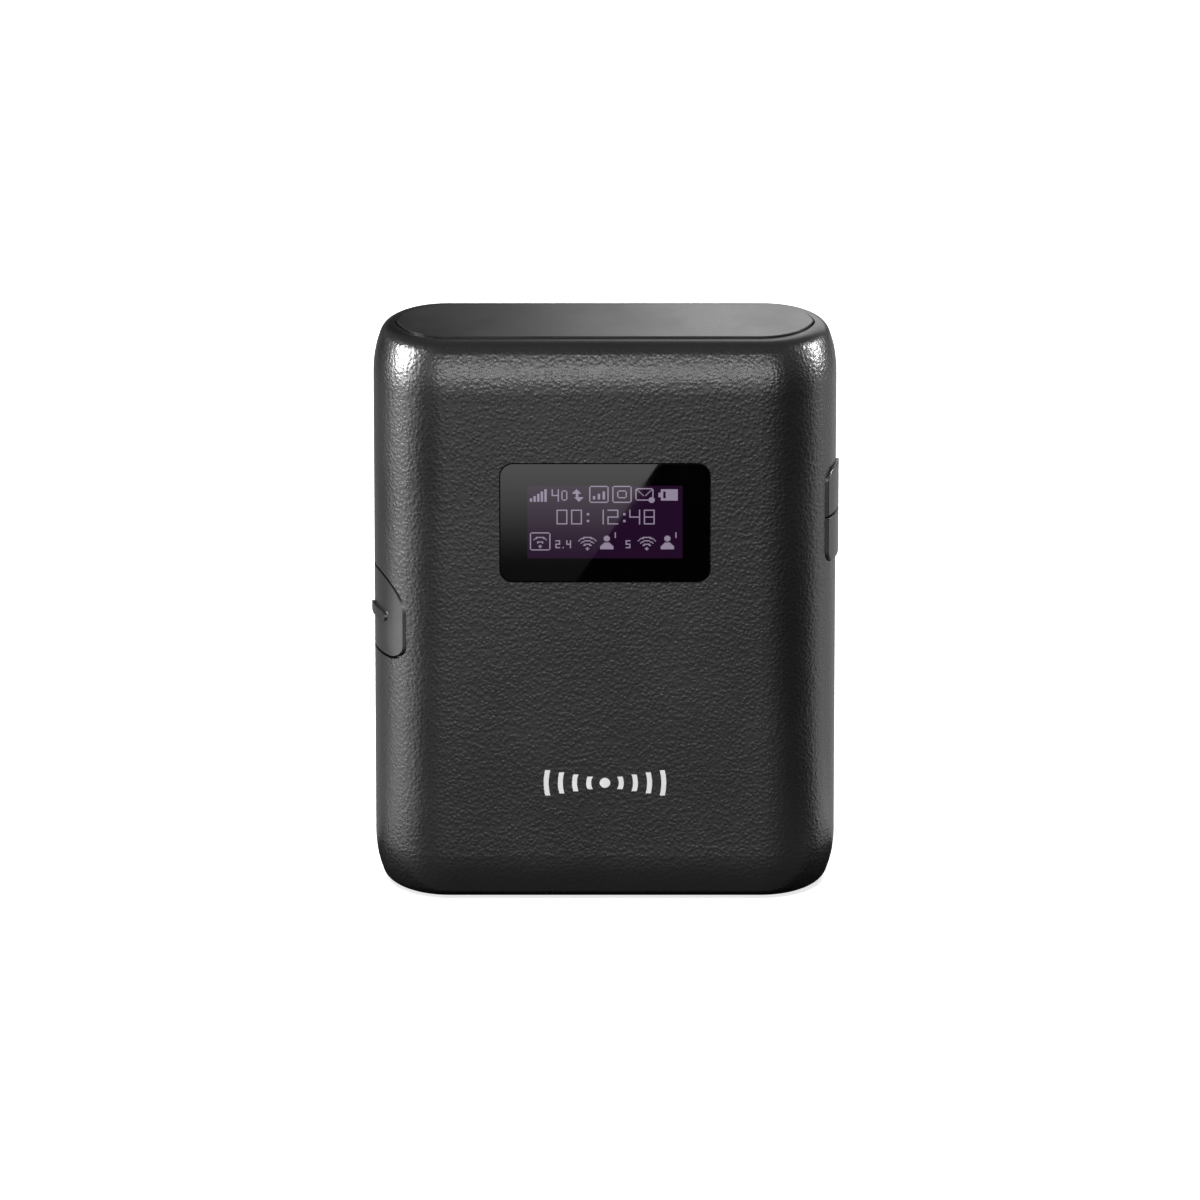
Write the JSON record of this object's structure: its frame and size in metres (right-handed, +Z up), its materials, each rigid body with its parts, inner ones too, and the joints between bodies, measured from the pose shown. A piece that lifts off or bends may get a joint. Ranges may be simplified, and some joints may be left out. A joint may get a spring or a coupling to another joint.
{
  "type": "mobile hotspot",
  "caption": "Pocket mobile hotspot: leather-grain case with round sides, small display, port flap, side buttons, and a lift-off back over the battery and SIM card.",
  "frame": {"origin": "centre of the bottom panel's face, midway between the front and back faces", "axes": "+X to the right seen from the front, +Y from the front face to the back, +Z up along the long side"},
  "size_m": [0.0658, 0.021, 0.084],
  "materials": {
    "leather_case": "moulded leather grain, semi-gloss black",
    "satin_panel": "smooth satin dark grey",
    "mark_print": "silver-white print",
    "display_glass": "polished black lens",
    "black_foam": "matt foam and tape",
    "oled_glass": "dark display glass",
    "flex_film": "amber film",
    "connector_plastic": "moulded black",
    "frame_plastic": "matt dark grey",
    "circuit_board": "solder mask",
    "screw_steel": "nickel plated",
    "port_metal": "plated sheet",
    "flap_plastic": "smooth satin",
    "button_plastic": "smooth satin",
    "battery_wrap": "printed film",
    "gold_contact": "gold flash",
    "sim_plastic": "white card",
    "shield_metal": "tinned sheet",
    "chip_resin": "moulded resin",
    "antenna_copper": "copper flex"
  },
  "bodies": {
    "housing": {"front_shell": "leather_case", "top_panel": "satin_panel", "bottom_panel": "satin_panel", "front_mark": "mark_print", "display_lens": "display_glass", "lens_tape": "black_foam", "oled_gasket": "black_foam", "oled_panel": "oled_glass", "oled_flex": "flex_film", "oled_connector": "connector_plastic", "mid_frame": "frame_plastic", "main_board": "circuit_board", "frame_screws": "screw_steel", "usb_port_shell": "port_metal", "usb_port_tongue": "connector_plastic", "power_switch": "connector_plastic", "menu_switch": "connector_plastic", "reset_switch": "port_metal", "battery_contacts": "connector_plastic", "contact_blades": "gold_contact", "sim_socket": "port_metal", "baseband_shield": "shield_metal", "wifi_shield": "shield_metal", "baseband_chip": "chip_resin", "memory_chip": "chip_resin", "power_chip": "chip_resin", "wifi_chip": "chip_resin", "main_antenna": "antenna_copper", "diversity_antenna": "antenna_copper", "wifi_antennas": "antenna_copper", "antenna_pins": "gold_contact"},
    "rear_cover": {"rear_cover": "leather_case"},
    "battery": {"battery_pack": "battery_wrap", "battery_terminals": "gold_contact"},
    "sim_card": {"sim_card": "sim_plastic"},
    "port_flap": {"port_flap": "flap_plastic"},
    "power_button": {"power_button": "button_plastic", "power_plunger": "frame_plastic"},
    "menu_button": {"menu_button": "button_plastic", "menu_plunger": "frame_plastic"},
    "reset_button": {"reset_plunger": "frame_plastic"}
  },
  "joints": [
    {"name": "rear_cover_slide", "type": "slide", "parent": "housing", "child": "rear_cover", "axis": [0, 1, 0], "range_m": [0, 0.04]},
    {"name": "battery_slide", "type": "slide", "parent": "housing", "child": "battery", "axis": [0, 1, 0], "range_m": [0, 0.02]},
    {"name": "sim_card_slide", "type": "slide", "parent": "housing", "child": "sim_card", "axis": [1, 0, 0], "range_m": [0, 0.012]},
    {"name": "port_flap_hinge", "type": "hinge", "parent": "housing", "child": "port_flap", "pos_m": [-0.03173, 0.00155, 0.042], "axis": [0, 0, -1], "range_deg": [0, 105]},
    {"name": "power_button_press", "type": "slide", "parent": "housing", "child": "power_button", "axis": [-1, 0, 0], "range_m": [0, 0.00035], "stiffness_N_per_m": 300, "springref_m": -0.002},
    {"name": "menu_button_press", "type": "slide", "parent": "housing", "child": "menu_button", "axis": [-1, 0, 0], "range_m": [0, 0.00035], "stiffness_N_per_m": 300, "springref_m": -0.002},
    {"name": "reset_button_press", "type": "slide", "parent": "housing", "child": "reset_button", "axis": [0, -1, 0], "range_m": [0, 0.00025], "stiffness_N_per_m": 300, "springref_m": -0.002}
  ],
  "couplings": [
    {"joint": "battery_slide", "follows": "rear_cover_slide", "ratio": 0.5}
  ]
}
